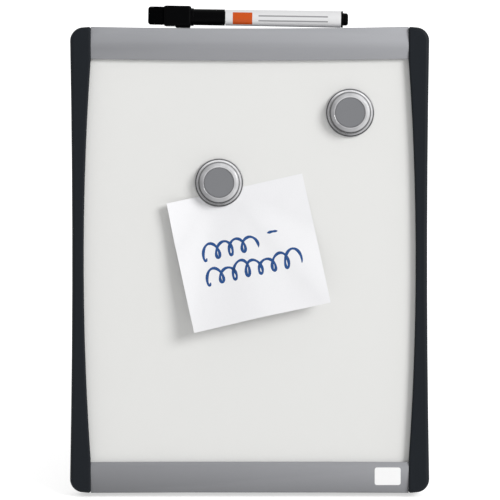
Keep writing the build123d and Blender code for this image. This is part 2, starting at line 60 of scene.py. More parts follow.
# %% [markdown]
# ## A drawing frame on the board
#
# The board leans back, so world axes are awkward for anything that lies on it. The joints give the
# directions: a magnet lifts off along the board's normal, and the marker lifts up along the board. With the
# middle of the writing sheet's front face they make a flat drawing frame, in millimetres.

# %% Find the board's directions
joints = {joint["name"]: joint for joint in frame["joints"]}
normal = Vector(joints["left_magnet_lift"]["axis"]).normalized()
up = Vector(joints["marker_lift"]["axis"]).normalized()
right = up.cross(normal).normalized()

SHEET_THICKNESS = 0.6
sheet_low, sheet_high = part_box("writing_sheet")
board_middle = (sheet_low + sheet_high) / 2 + normal * (SHEET_THICKNESS / 2 * MM)


def on_board(x, y, proud=0.0):
    """A point x right and y up from the board's middle, in millimetres, and proud of its face."""
    return board_middle + (right * x + up * y + normal * proud) * MM


def board_place(point):
    """The x, y and proud of a point, in millimetres."""
    offset = (point - board_middle) / MM
    return offset.dot(right), offset.dot(up), offset.dot(normal)


print("board's middle:", tuple(round(value, 4) for value in board_middle))

# %% [markdown]
# ## The camera
#
# The board is seen straight on, so the camera stands on the line out of its face. Its distance sets the
# perspective, and the lens follows from how much of the board's plane the view has to hold.

# %% Place the camera
VIEW_MIDDLE = (0.2, 5.9)
VIEW_WIDTH = 300.5
CAMERA_DISTANCE = 2500.0
SENSOR_WIDTH = 36.0


def add_object(name, data):
    """A new object in the scene."""
    made = bpy.data.objects.new(name, data)
    bpy.context.scene.collection.objects.link(made)
    return made


camera_data = bpy.data.cameras.new("camera")
camera_data.sensor_width = SENSOR_WIDTH
camera_data.lens = SENSOR_WIDTH * CAMERA_DISTANCE / VIEW_WIDTH
camera = add_object("camera", camera_data)
camera_matrix = Matrix((right, up, normal)).transposed().to_4x4()
camera_matrix.translation = on_board(*VIEW_MIDDLE, CAMERA_DISTANCE)
camera.matrix_world = camera_matrix
bpy.context.scene.camera = camera
print("lens:", round(camera_data.lens, 1), "mm")

# %% [markdown]
# ## Small tools for shader nodes
#
# Materials below are node graphs, and short helpers keep them readable. Most make a node and set its inputs,
# and one turns an ordinary screen colour into the linear values that a shader works in.


# %% Node helpers
def tone(red, green, blue):
    """Linear colour of a screen colour given from 0 to 255."""

    def linear(value):
        share = value / 255
        return share / 12.92 if share <= 0.04045 else ((share + 0.055) / 1.055) ** 2.4

    return linear(red), linear(green), linear(blue), 1.0


def fill_inputs(tree, node, inputs):
    """Set a node's inputs, by name or number, to values, or link them to sockets."""
    for name, value in inputs.items():
        if isinstance(value, bpy.types.NodeSocket):
            tree.links.new(value, node.inputs[name])
        else:
            node.inputs[name].default_value = value


def give(tree, node, **inputs):
    """Fill a node's inputs by name, written with underscores for spaces."""
    fill_inputs(tree, node, {name.replace("_", " "): value for name, value in inputs.items()})


def add_node(tree, kind, inputs=None, **settings):
    """A shader node with its settings and its inputs."""
    node = tree.nodes.new("ShaderNode" + kind)
    for name, value in settings.items():
        setattr(node, name, value)
    fill_inputs(tree, node, inputs or {})
    return node


def maths(tree, operation, *values, clamp=False):
    """Result of a Math node."""
    node = add_node(tree, "Math", dict(enumerate(values)), operation=operation, use_clamp=clamp)
    return node.outputs[0]


def scaled(tree, colour, gain):
    """A colour times a gain."""
    return add_node(tree, "VectorMath", {0: colour, "Scale": gain}, operation="SCALE").outputs[0]


def dot(tree, first, second):
    """Dot product of two vectors."""
    node = add_node(tree, "VectorMath", {0: first, 1: second}, operation="DOT_PRODUCT")
    return node.outputs["Value"]


def remap(tree, value, given=(0.0, 1.0), wanted=(0.0, 1.0), **settings):
    """A value carried from a given range to a wanted one, and held inside it."""
    ends = {"From Min": given[0], "From Max": given[1], "To Min": wanted[0], "To Max": wanted[1]}
    return add_node(tree, "MapRange", {"Value": value, **ends}, **settings).outputs[0]


def object_place(tree):
    """The point on the surface, in metres."""
    return add_node(tree, "TexCoord").outputs["Object"]


def stretched(tree, scale, rotation=(0.0, 0.0, 0.0)):
    """The point on the surface, turned and squeezed so that a texture on it looks drawn out."""
    inputs = {"Vector": object_place(tree), "Rotation": rotation, "Scale": scale}
    return add_node(tree, "Mapping", inputs).outputs[0]


def clouds(tree, place, scale, detail, **inputs):
    """Noise from 0 to 1 at a place."""
    node = add_node(tree, "TexNoise", {"Vector": place, "Scale": scale, "Detail": detail, **inputs})
    return node.outputs[0]


def blended(tree, share, first, second):
    """The first colour, with a share of the second one."""
    return add_node(tree, "Mix", {"Factor": share, 6: first, 7: second}, data_type="RGBA").outputs[2]


def bumped(tree, height, strength, distance, **inputs):
    """A normal that leans as the height changes. The distance is in millimetres."""
    relief = {"Height": height, "Strength": strength, "Distance": distance * MM, **inputs}
    return add_node(tree, "Bump", relief).outputs[0]


def ramp(tree, share, stops):
    """A colour read from a list of stops, each a place from 0 to 1 and a colour."""
    node = add_node(tree, "ValToRGB", {0: share})
    elements = node.color_ramp.elements
    while len(elements) < len(stops):
        elements.new(1.0)
    for element, (position, colour) in zip(elements, stops):
        element.position = position
        element.color = colour
    return node.outputs[0]


def printed_place(tree):
    """The two coordinates that a turned mesh carries."""
    return add_node(tree, "SeparateXYZ", {0: add_node(tree, "UVMap").outputs[0]}).outputs[:2]


def new_group(name, inputs, outputs):
    """A shader group: its tree, the sockets of its input node, and its output node."""
    group = bpy.data.node_groups.new(name, "ShaderNodeTree")
    for socket_name, kind, value in inputs:
        socket = group.interface.new_socket(socket_name, in_out="INPUT", socket_type=kind)
        socket.default_value = value
    for socket_name, kind in outputs:
        group.interface.new_socket(socket_name, in_out="OUTPUT", socket_type=kind)
    return group, group.nodes.new("NodeGroupInput").outputs, group.nodes.new("NodeGroupOutput")


FLOAT = "NodeSocketFloat"
COLOUR = "NodeSocketColor"
VECTOR = "NodeSocketVector"
GREY = (0.5, 0.5, 0.5, 1.0)
print("a mid grey of 128 is", round(tone(128, 128, 128)[0], 3), "in linear light")

# %% [markdown]
# ## Effects that several finishes share
#
# Real surfaces are never one flat value. Moulded plastic has a fine grain, painted steel drifts slowly in
# tone, handled parts carry smudges, and edges are lighter, partly from wear and partly as a painted highlight.
# Each effect is built once as a node group.

# %% Moulded grain
SKIN_HEIGHT = 0.05
BEVEL_SAMPLES = 6


def build_grain():
    """Fine bump, as a mould's etched skin leaves it, over edges that are rounded a little."""
    group, given, result = new_group(
        "moulded_grain",
        [("Scale", FLOAT, 1800.0), ("Depth", FLOAT, 0.3), ("Rounding", FLOAT, 0.4 * MM)],
        [("Normal", VECTOR)],
    )
    rounded = add_node(group, "Bevel", {"Radius": given["Rounding"]}, samples=BEVEL_SAMPLES).outputs[0]
    pits = clouds(group, object_place(group), given["Scale"], 3.0, Roughness=0.6)
    give(group, result, Normal=bumped(group, pits, given["Depth"], SKIN_HEIGHT, Normal=rounded))
    return group


grain_group = build_grain()
print("group:", grain_group.name)


# %% Slow drift of tone
def build_drift():
    """A colour that wanders a little lighter and darker over the piece."""
    group, given, result = new_group(
        "tone_drift",
        [("Color", COLOUR, GREY), ("Scale", FLOAT, 30.0), ("Amount", FLOAT, 0.05)],
        [("Color", COLOUR)],
    )
    cloud = clouds(group, object_place(group), given["Scale"], 2.0)
    around_one = maths(group, "MULTIPLY_ADD", cloud, 2.0, -1.0)
    gain = maths(group, "MULTIPLY_ADD", around_one, given["Amount"], 1.0)
    give(group, result, Color=scaled(group, given["Color"], gain))
    return group


drift_group = build_drift()
print("group:", drift_group.name)

# %% Worn edges with a painted highlight
EDGE_GAIN = 6.0
SCUFF_SCALE = 260.0


# Partly painted highlight: convex edges are coloured lighter for the light they catch, as well as for wear.
def build_edge_wear_and_highlight():
    """A colour that is lighter on convex edges, broken up by scuffs, partly as wear and partly as a painted
    highlight.
    """
    group, given, result = new_group(
        "edge_wear_and_highlight",
        [
            ("Color", COLOUR, GREY),
            ("Worn Color", COLOUR, (0.7, 0.7, 0.7, 1.0)),
            ("Radius", FLOAT, 0.3 * MM),
            ("Amount", FLOAT, 0.5),
        ],
        [("Color", COLOUR)],
    )
    rounded = add_node(group, "Bevel", {"Radius": given["Radius"]}, samples=BEVEL_SAMPLES).outputs[0]
    agreement = dot(group, rounded, add_node(group, "NewGeometry").outputs["Normal"])
    edge = maths(group, "MULTIPLY", maths(group, "SUBTRACT", 1.0, agreement), EDGE_GAIN, clamp=True)
    broken = maths(group, "MULTIPLY", edge, clouds(group, object_place(group), SCUFF_SCALE, 4.0))
    mask = maths(group, "MULTIPLY", broken, given["Amount"], clamp=True)
    give(group, result, Color=blended(group, mask, given["Color"], given["Worn Color"]))
    return group


wear_and_highlight_group = build_edge_wear_and_highlight()
print("group:", wear_and_highlight_group.name)

# %% Handling
SMEAR_STRETCH = (1.0, 1.0, 2.6)
SMEAR_TURN = (0.0, 0.6, 0.0)
SMEAR_BAND = (0.42, 0.68)


def build_handling():
    """Roughness that varies between two values, in smears a few centimetres long."""
    group, given, result = new_group(
        "handling",
        [("Scale", FLOAT, 40.0), ("Clean", FLOAT, 0.2), ("Smeared", FLOAT, 0.35)],
        [("Roughness", FLOAT)],
    )
    place = stretched(group, SMEAR_STRETCH, SMEAR_TURN)
    smears = clouds(group, place, given["Scale"], 5.0, Distortion=0.6)
    contrast = remap(group, smears, SMEAR_BAND, interpolation_type="SMOOTHSTEP")
    give(group, result, Roughness=remap(group, contrast, wanted=(given["Clean"], given["Smeared"])))
    return group


handling_group = build_handling()
print("group:", handling_group.name)

# %% Fibres
FIBRE_STRETCH = (1.0, 0.18, 0.5)
FIBRE_TURNS = (0.4, 1.9)
FIBRE_HEIGHT = 0.08
FLECK_BAND = (0.55, 0.75)


def build_fibres():
    """Crossed fibres for paper, felt and board: flecks of colour and a soft bump."""
    group, given, result = new_group(
        "fibres",
        [
            ("Scale", FLOAT, 900.0),
            ("Depth", FLOAT, 0.3),
            ("Color", COLOUR, (0.8, 0.8, 0.8, 1.0)),
            ("Fleck Color", COLOUR, (0.6, 0.6, 0.6, 1.0)),
            ("Flecks", FLOAT, 0.3),
        ],
        [("Color", COLOUR), ("Normal", VECTOR)],
    )
    strands = []
    for turn in FIBRE_TURNS:
        place = stretched(group, FIBRE_STRETCH, (turn, turn / 2, -turn))
        strands.append(clouds(group, place, given["Scale"], 3.0, Distortion=0.8))
    felted = maths(group, "MAXIMUM", *strands)
    mask = maths(group, "MULTIPLY", remap(group, felted, FLECK_BAND), given["Flecks"], clamp=True)
    give(
        group,
        result,
        Color=blended(group, mask, given["Color"], given["Fleck Color"]),
        Normal=bumped(group, felted, given["Depth"], FIBRE_HEIGHT),
    )
    return group


fibre_group = build_fibres()
print("group:", fibre_group.name)

# %% [markdown]
# ## One material for each finish
#
# Every material is one Principled shader with the shared groups feeding its colour, roughness and normal.
# What is the same all over, such as the strength of the specular, is set on the shader's own sockets.


# %% Material helpers
def new_material(name, **constants):
    """A material with one Principled shader. Returns the material, its tree and its shader."""
    material = bpy.data.materials.new(name)
    material.use_nodes = True
    tree = material.node_tree
    shader = tree.nodes["Principled BSDF"]
    give(tree, shader, **constants)
    return material, tree, shader


def place_group(tree, group, **inputs):
    """The outputs of a shared group, placed in a material with its own values."""
    node = add_node(tree, "Group", node_tree=group)
    give(tree, node, **inputs)
    return node.outputs


def make_plain(name, colour, scale, amount, **constants):
    """One colour with a slow drift of tone."""
    material, tree, shader = new_material(name, **constants)
    drift = place_group(tree, drift_group, Color=colour, Scale=scale, Amount=amount)
    give(tree, shader, Base_Color=drift["Color"])
    return material


materials = {}
print("material helpers ready")

# %% [markdown]
# ### Writing face
#
# The face is steel with a baked white enamel. It is glossy, nearly flawless, and slightly grey beside paper.
# Old wiping leaves faint smears that show only in its shine.


# %% White enamel
def make_white_enamel():
    """Glossy enamel whose wiped smears show in its roughness."""
    material, tree, shader = new_material(
        "white_enamel", Coat_Weight=0.15, Coat_Roughness=0.2, Specular_IOR_Level=0.25
    )
    drift = place_group(tree, drift_group, Color=tone(229, 229, 227), Scale=9.0, Amount=0.012)
    smears = place_group(tree, handling_group, Scale=22.0, Clean=0.32, Smeared=0.42)
    give(tree, shader, Base_Color=drift["Color"], Roughness=smears["Roughness"])
    return material


materials["white_enamel"] = make_white_enamel()
badge_white = make_plain(
    "badge_white", tone(251, 251, 251), 120.0, 0.01, Roughness=0.35, Specular_IOR_Level=0.3
)
print("finishes:", "white_enamel,", badge_white.name)

# %% [markdown]
# ### Frame rails and other mouldings
#
# The top and bottom rails are satin silver-grey, with painted light and shade that makes them lighter high up
# and towards their right ends, and the side rails a blue-black moulding. Both have a fine skin, with edges
# painted lighter, partly as wear where hands take hold of them and partly as a painted highlight. The leg, the
# marker's black pieces and the magnets' grey discs are mouldings too, so they share one table with the rails.

# %% Brushed metal
BRUSH_STRETCH = (0.02, 1.0, 1.0)
RAIL_ROUNDING = 0.4


def build_brushing():
    """Fine lines along a rail, as a soft bump over edges that are rounded a little."""
    group, given, result = new_group(
        "brushing", [("Scale", FLOAT, 2400.0), ("Depth", FLOAT, 0.1)], [("Normal", VECTOR)]
    )
    lines = clouds(group, stretched(group, BRUSH_STRETCH), given["Scale"], 2.0)
    rounded = add_node(group, "Bevel", {"Radius": RAIL_ROUNDING * MM}, samples=BEVEL_SAMPLES).outputs[0]
    give(group, result, Normal=bumped(group, lines, given["Depth"], SKIN_HEIGHT, Normal=rounded))
    return group


brushing_group = build_brushing()
print("group:", brushing_group.name)

# %% Painted light and shade across the silver rails
# Painted light and shade: the silver rails are coloured lighter high up and towards their right ends, as the lamp
# from the upper right lights them.
RAIL_PAINTED_SHADE = (
    # millimetres up the board from its middle, share of the colour that is left after the painted shade
    (-139.6, 0.55), (-121.3, 0.80), (126.8, 0.80), (131.5, 0.96), (139.9, 0.98),
)
PAINTED_SHADE_REACH = 140.0
PAINTED_SHADE_ENDS = (0.93, 1.13)  # at the left end of a rail and at its right end


def build_rail_painted_shade():
    """Painted light and shade: brushed metal coloured lighter high on each rail and towards its right end."""
    group, given, result = new_group("rail_painted_shade", [("Color", COLOUR, GREY)], [("Color", COLOUR)])
    place = object_place(group)
    offset = add_node(group, "VectorMath", {0: place, 1: board_middle}, operation="SUBTRACT").outputs[0]
    reach = (-PAINTED_SHADE_REACH * MM, PAINTED_SHADE_REACH * MM)
    high, across = (remap(group, dot(group, offset, way), reach) for way in (up, right))
    stops = [((height / PAINTED_SHADE_REACH + 1) / 2, (share, share, share, 1.0)) for height, share in RAIL_PAINTED_SHADE]
    gain = maths(group, "MULTIPLY", ramp(group, high, stops), remap(group, across, wanted=PAINTED_SHADE_ENDS))
    give(group, result, Color=scaled(group, given["Color"], gain))
    return group


rail_painted_shade_group = build_rail_painted_shade()
print("group:", rail_painted_shade_group.name)

# %% Mouldings
EDGE_MASK_RADIUS = 0.35
SMEAR_RISE = 0.08


def make_moulding(
    name, colour, worn_and_lit, roughness, specular, grain_scale=1500.0, grain_depth=0.12, wear_and_highlight=0.35, painted_shade=None
):
    """Satin plastic or metal with grain, a slow drift of tone, edges lighter from wear and a painted highlight,
    and perhaps a group of painted light and shade.
    """
    material, tree, shader = new_material(name, Specular_IOR_Level=specular)
    if painted_shade:
        colour = place_group(tree, painted_shade, Color=colour)["Color"]
    drift = place_group(tree, drift_group, Color=colour, Scale=14.0, Amount=0.04)
    edges = place_group(
        tree, wear_and_highlight_group, Color=drift["Color"], Worn_Color=worn_and_lit, Radius=EDGE_MASK_RADIUS * MM, Amount=wear_and_highlight
    )
    skin = brushing_group if painted_shade else grain_group
    grain = place_group(tree, skin, Scale=grain_scale, Depth=grain_depth)
    smears = place_group(tree, handling_group, Scale=30.0, Clean=roughness, Smeared=roughness + SMEAR_RISE)
    give(tree, shader, Base_Color=edges["Color"], Normal=grain["Normal"], Roughness=smears["Roughness"])
    return material


MOULDINGS = {
    # colour, colour on worn and highlighted edges, roughness, specular, and what differs from the usual grain
    # the silver rails add painted light and shade, lighter high up and towards the right end
    "silver_rail": (
        (160, 161, 165), (196, 197, 200), 0.42, 0.35,
        {"painted_shade": rail_painted_shade_group, "grain_scale": 2400.0, "grain_depth": 0.1},
    ),
    "black_rail": ((23, 27, 32), (58, 62, 68), 0.45, 0.12, {}),
    "leg_plastic": ((38, 40, 43), (84, 86, 90), 0.5, 0.3, {"grain_scale": 1100.0, "grain_depth": 0.3}),
    "black_gloss": ((2, 2, 3), (52, 52, 55), 0.3, 0.03, {"grain_depth": 0.05, "wear_and_highlight": 0.5}),
    "grey_disc": ((126, 127, 130), (150, 150, 152), 0.5, 0.15, {"grain_scale": 2400.0}),
}
for name, (colour, worn_and_lit, roughness, specular, extra) in MOULDINGS.items():
    materials[name] = make_moulding(name, tone(*colour), tone(*worn_and_lit), roughness, specular, **extra)
print("finishes:", sorted(materials))

# %% [markdown]
# ### Screws, pin, rubber and paper
#
# The hinge's hardware is zinc-plated steel with a brushed look from plating and tumbling. Rubber, board, felt
# and paper are all matt with a fleck and a soft relief. The note is the whitest of them, and its ink is a
# felt pen's blue that drifts in tone along a stroke.


# %% Steel
def make_steel():
    """Plated steel with fine scratches, and edges made brighter partly as wear and partly as a painted highlight.
    """
    material, tree, shader = new_material("steel", Metallic=1.0)
    drift = place_group(tree, drift_group, Color=tone(176, 178, 182), Scale=400.0, Amount=0.12)
    bright = {"Worn_Color": tone(225, 225, 226), "Radius": 0.15 * MM, "Amount": 0.8}
    edges = place_group(tree, wear_and_highlight_group, Color=drift["Color"], **bright)
    scratches = place_group(tree, handling_group, Scale=900.0, Clean=0.24, Smeared=0.42)
    grain = place_group(tree, grain_group, Scale=5200.0, Depth=0.15)
    give(tree, shader, Base_Color=edges["Color"], Roughness=scratches["Roughness"], Normal=grain["Normal"])
    return material


materials["steel"] = make_steel()
print("finish: steel")

# %% Rubber, board, felt and paper
FIBROUS = {
    # colour, fleck, scale, depth, share of flecks, roughness, specular, drift of tone
    "black_rubber": ((30, 30, 31), (58, 58, 58), 700.0, 0.25, 0.3, 0.75, 0.2, 0.06),
    "ferrite": ((62, 62, 64), (96, 96, 98), 2600.0, 0.3, 0.4, 0.5, 0.2, 0.06),
    "core_board": ((158, 132, 96), (112, 88, 60), 1500.0, 0.5, 0.5, 0.9, 0.2, 0.06),
    "grey_board": ((150, 150, 147), (118, 116, 112), 1300.0, 0.4, 0.45, 0.85, 0.2, 0.06),
    "black_felt": ((5, 5, 6), (15, 15, 16), 1500.0, 0.9, 0.4, 1.0, 0.0, 0.06),
    "ink_felt": ((14, 14, 15), (32, 32, 34), 5000.0, 0.6, 0.4, 0.9, 0.2, 0.06),
    "ink_fibre": ((36, 36, 42), (70, 70, 76), 3000.0, 0.6, 0.5, 0.9, 0.2, 0.06),
    "paper": ((238, 238, 240), (230, 230, 232), 1900.0, 0.12, 0.35, 0.85, 0.1, 0.015),
}


def make_fibrous(name, colour, fleck, scale, depth, flecks, roughness, specular, drift_amount):
    """Felt, fibre, board, rubber or paper: matt, with a fleck and a soft relief."""
    material, tree, shader = new_material(name, Roughness=roughness, Specular_IOR_Level=specular)
    drift = place_group(tree, drift_group, Color=tone(*colour), Scale=60.0, Amount=drift_amount)
    grain = {"Scale": scale, "Depth": depth, "Flecks": flecks, "Fleck_Color": tone(*fleck)}
    fibres = place_group(tree, fibre_group, Color=drift["Color"], **grain)
    give(tree, shader, Base_Color=fibres["Color"], Normal=fibres["Normal"])
    return material


for name, row in FIBROUS.items():
    materials[name] = make_fibrous(name, *row)
blue_ink = make_plain("blue_ink", tone(48, 83, 138), 520.0, 0.3, Roughness=0.8, Specular_IOR_Level=0.1)
print("finishes:", len(materials), "and", blue_ink.name)

# %% [markdown]
# ### Marker
#
# The barrel is white polypropylene with a print wrapped round it: a plain orange patch and two plain grey
# lines. Its mesh carries coordinates in millimetres, the way round it and the way along it, so the print has
# a real size.

# %% Printed barrel
PRINT_ROUNDING = 0.5
PRINT_FADE = (0.06, 0.0)
PRINTS = (
    # around, along, half around, half along, colour
    (0.75, 10.4, 4.05, 5.85, (200, 78, 4)),
    (1.9, 40.85, 0.42, 20.85, (150, 150, 152)),
    (-1.1, 40.85, 0.42, 20.85, (150, 150, 152)),
)


def build_print_box():
    """A mask that is 1 inside a box of the print, with corners that are slightly rounded."""
    names = ("Around", "Along", "Half Around", "Half Along")
    group, given, result = new_group("print_box", [(name, FLOAT, 1.0) for name in names], [("Mask", FLOAT)])
    place = printed_place(group)
    gaps = []
    for way in (0, 1):
        offset = maths(group, "SUBTRACT", place[way], given[names[way]])
        gaps.append(maths(group, "SUBTRACT", maths(group, "ABSOLUTE", offset), given[names[way + 2]]))
    outside = maths(group, "SMOOTH_MAX", *gaps, PRINT_ROUNDING)
    give(group, result, Mask=remap(group, outside, PRINT_FADE))
    return group


def make_white_barrel():
    """White plastic with the print blended in, one box after another."""
    material, tree, shader = new_material(
        "white_barrel", Coat_Weight=0.1, Coat_Roughness=0.15, Specular_IOR_Level=0.25
    )
    colour = place_group(tree, drift_group, Color=tone(225, 225, 226), Scale=60.0, Amount=0.015)["Color"]
    for around, along, half_around, half_along, ink in PRINTS:
        box = place_group(
            tree, print_group, Around=around, Along=along, Half_Around=half_around, Half_Along=half_along
        )
        colour = blended(tree, box["Mask"], colour, tone(*ink))
    smears = place_group(tree, handling_group, Scale=120.0, Clean=0.3, Smeared=0.4)
    give(tree, shader, Base_Color=colour, Roughness=smears["Roughness"])
    return material


print_group = build_print_box()
materials["white_barrel"] = make_white_barrel()
print("printed boxes:", len(PRINTS))

# %% [markdown]
# ### Magnets
#
# Each magnet is a grey disc in a ring of clear acrylic. The ring is opaque, and its colour is painted with the
# bands that its bending of light would show from the front: a painted bright bevel, a painted dark line where
# its step would show the magnet's side, a painted bright flange and a painted dark edge. The bands follow the
# distance from the magnet's own axis. Each band is painted lighter on its lit side and darker on its shaded
# side. The bevel is brightest on its upper right, and the flange is painted as lit from the side across the
# ring, so each has its own bright direction.

# %% Clear ring with painted bands of light and shade
PAINTED_RING_BANDS = (
    # radius in millimetres, painted tone on the shaded side, painted tone on the bright side
    (8.9, 130, 165), (9.2, 150, 205), (9.5, 160, 235), (9.9, 140, 205), (10.6, 145, 210),
    (11.3, 155, 205), (11.75, 125, 190), (11.95, 24, 110), (12.4, 20, 105), (12.65, 125, 195),
    (13.15, 185, 250), (13.6, 150, 225), (13.8, 14, 80), (14.25, 14, 75), (14.45, 185, 185),
)
BAND_INNER = 8.5
BAND_OUTER = 15.0
# Painted highlight: the direction in which each painted band is lightest
BEVEL_TURN = math.radians(62)  # where the bevel is brightest, from the top towards the right
FLANGE_TURN = math.radians(8)
STEP_RADII = (11.7, 12.2)
SIDE_CONTRAST = 0.55


def painted_band_stops(column):
    """Stops of a colour ramp through one column of the painted bands."""
    reach = BAND_OUTER - BAND_INNER
    greys = ((band[0], band[column]) for band in PAINTED_RING_BANDS)
    return [((radius - BAND_INNER) / reach, tone(grey, grey, grey + 2)) for radius, grey in greys]


def make_clear_plastic():
    """Painted refraction bands, highlights and shade round the magnet's axis, from the radius and angle that the
    ring's mesh carries.
    """
    material, tree, shader = new_material(
        "clear_plastic", Roughness=0.1, Coat_Weight=0.3, Coat_Roughness=0.04, Specular_IOR_Level=0.25
    )
    radius, angle = printed_place(tree)
    share = remap(tree, radius, (BAND_INNER, BAND_OUTER))
    turn = remap(tree, radius, STEP_RADII, (BEVEL_TURN, FLANGE_TURN))
    facing = maths(tree, "COSINE", maths(tree, "ADD", angle, turn))
    side = maths(tree, "MULTIPLY_ADD", facing, SIDE_CONTRAST, 0.5, clamp=True)
    shaded, bright = (ramp(tree, share, painted_band_stops(column)) for column in (1, 2))
    painted_bands = blended(tree, side, shaded, bright)
    ripples = place_group(tree, drift_group, Color=painted_bands, Scale=160.0, Amount=0.35)
    give(tree, shader, Base_Color=ripples["Color"])
    return material


materials["clear_plastic"] = make_clear_plastic()
print("finishes:", len(materials))

# %% [markdown]
# ## Tools for new pieces
#
# Most small pieces are turned shapes, so one lathe makes them. It also writes coordinates in millimetres for
# the print and the bands. Another helper softens the corners of a profile, because a moulded corner is never
# sharp.

# %% Mesh helpers
CORNER_SPLIT = 2.2  # a curve takes less than half of each side that it joins


def soften(points, radius, closed=False, steps=4):
    """The points of a profile with each corner replaced by a short curve."""
    result = []
    count = len(points)
    for number, point in enumerate(points):
        here = Vector(point)
        if not closed and number in (0, count - 1):
            result.append(tuple(here))
            continue
        before = Vector(points[number - 1]) - here
        after = Vector(points[(number + 1) % count]) - here
        cut = min(radius, before.length / CORNER_SPLIT, after.length / CORNER_SPLIT)
        start = here + before.normalized() * cut
        end = here + after.normalized() * cut
        for step in range(steps + 1):
            share = step / steps
            bend = start * (1 - share) ** 2 + here * (2 * share * (1 - share)) + end * share**2
            result.append(tuple(bend))
    return result


def lathe(profile, origin, axis, facing, segments=96, closed=False, banded=False):
    """A turned mesh. The profile gives (radius, distance along the axis) in millimetres.

    Its coordinates hold the way round, counted from the facing side, and the way along. On a banded piece
    they hold the radius and the angle.
    """
    across = axis.cross(facing).normalized()
    turns = [math.tau * step / segments - math.pi for step in range(segments + 1)]
    bm = bmesh.new()
    rings = []
    for radius, along in profile:
        middle = origin + axis * (along * MM)
        spokes = [facing * math.cos(turn) + across * math.sin(turn) for turn in turns[:-1]]
        if radius == 0:
            spokes = spokes[:1]
        rings.append([bm.verts.new(middle + spoke * (radius * MM)) for spoke in spokes])
    layer = bm.loops.layers.uv.new("UVMap")
    for number in range(len(rings) if closed else len(rings) - 1):
        after = (number + 1) % len(rings)
        for step in range(segments):
            places = {}
            for end, place in ((number, step), (number, step + 1), (after, step + 1), (after, step)):
                radius, along = profile[end]
                spot = (radius, turns[place]) if banded else (radius * turns[place], along)
                places.setdefault(rings[end][place % len(rings[end])], spot)
            face = bm.faces.new(list(places))
            for loop in face.loops:
                loop[layer].uv = places[loop.vert]
    return bm


def fill_grid(bm, grid):
    """Faces between the neighbouring rows of a grid of vertices."""
    for near, far in zip(grid, grid[1:]):
        for column in range(len(near) - 1):
            bm.faces.new((near[column], near[column + 1], far[column + 1], far[column]))


def join_rings(bm, near, far):
    """A band of faces between two closed rings of vertices."""
    for step in range(len(near)):
        after = (step + 1) % len(near)
        bm.faces.new((near[step], near[after], far[after], far[step]))


def make_piece(name, bm, slot, body, replaced=(), smooth=40.0, material=None):
    """An object from finished mesh code: shaded, dressed, riding on its body and standing for its nodes."""
    bmesh.ops.recalc_face_normals(bm, faces=bm.faces)
    mesh = bpy.data.meshes.new(name)
    bm.to_mesh(mesh)
    bm.free()
    mesh.polygons.foreach_set("use_smooth", [True] * len(mesh.polygons))
    mesh.set_sharp_from_angle(angle=math.radians(smooth))
    mesh.materials.append(material or materials[slot])
    piece = add_object(name, mesh)
    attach(piece, body)
    if replaced:
        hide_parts(*replaced)
    return piece


print("mesh helpers ready")

# %% [markdown]
# ## Magnet rings
#
# Each clear ring is turned from one profile: a rounded flange that lies on the board, a step, and a grip with
# a domed rim that dips to the disc.

# %% Turn the two rings
RING_PROFILE = (
    (8.92, 0.35), (14.3, 0.35), (14.6, 0.65), (14.6, 1.5), (14.3, 2.0), (13.6, 2.2), (12.85, 2.05),
    (12.55, 5.4), (12.2, 6.3), (11.3, 7.0), (10.4, 7.2), (9.6, 7.05), (9.05, 6.6), (8.92, 6.1),
)

for side in ("left", "right"):
    disc_low, disc_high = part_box(f"{side}_magnet_disc")
    x, y, _ = board_place((disc_low + disc_high) / 2)
    profile = soften(RING_PROFILE, radius=0.25, closed=True)
    ring = lathe(profile, on_board(x, y), normal, up, segments=128, closed=True, banded=True)
    replaced = [f"{side}_magnet_shell"]
    shell = make_piece(f"{side}_magnet_ring", ring, "clear_plastic", f"{side}_magnet", replaced, smooth=60.0)
    print(shell.name, "at", round(x, 2), round(y, 2))

# %% [markdown]
# ## Pinned note
#
# The paper lies flat under its magnet. Left of it and below, the free part bends off the board, most at its
# lower left corner, and the light from the right throws its shadow to the left and down. Paper can't stretch,
# so it bends as a cone: along each straight line out from the magnet it rises at one slope.

# %% Shape the paper
NOTE_MIDDLE = (-0.9, 3.6)
NOTE_TURN = math.radians(12.7)
NOTE_WIDTH = 84.5
NOTE_HEIGHT = 80.0
NOTE_SEAT = 0.05
NOTE_THICKNESS = 0.22
PINNED_AT = Vector((-7.7, 45.5))  # the magnet's middle, across and along the note
PINNED_RADIUS = 14.0
BEND_RUN = 8.0
LIFT_SLOPES = (
    # angle round the magnet from the note's left towards its foot, in degrees, and how steeply it rises
    (-30.0, 0.06), (10.0, 0.33), (46.0, 0.215), (68.0, 0.16),
    (95.0, 0.19), (118.0, 0.15), (145.0, 0.03), (170.0, 0.0),
)
note_right = right * math.cos(NOTE_TURN) + up * math.sin(NOTE_TURN)
note_up = up * math.cos(NOTE_TURN) - right * math.sin(NOTE_TURN)


def lift_slope(angle):
    """How steeply the paper leaves the board along one line out from the magnet."""
    if angle < LIFT_SLOPES[0][0]:
        angle += 360.0
    for (low, start), (high, end) in zip(LIFT_SLOPES, LIFT_SLOPES[1:]):
        if low <= angle <= high:
            share = (angle - low) / (high - low)
            return start + (end - start) * share * share * (3 - 2 * share)
    return 0.0


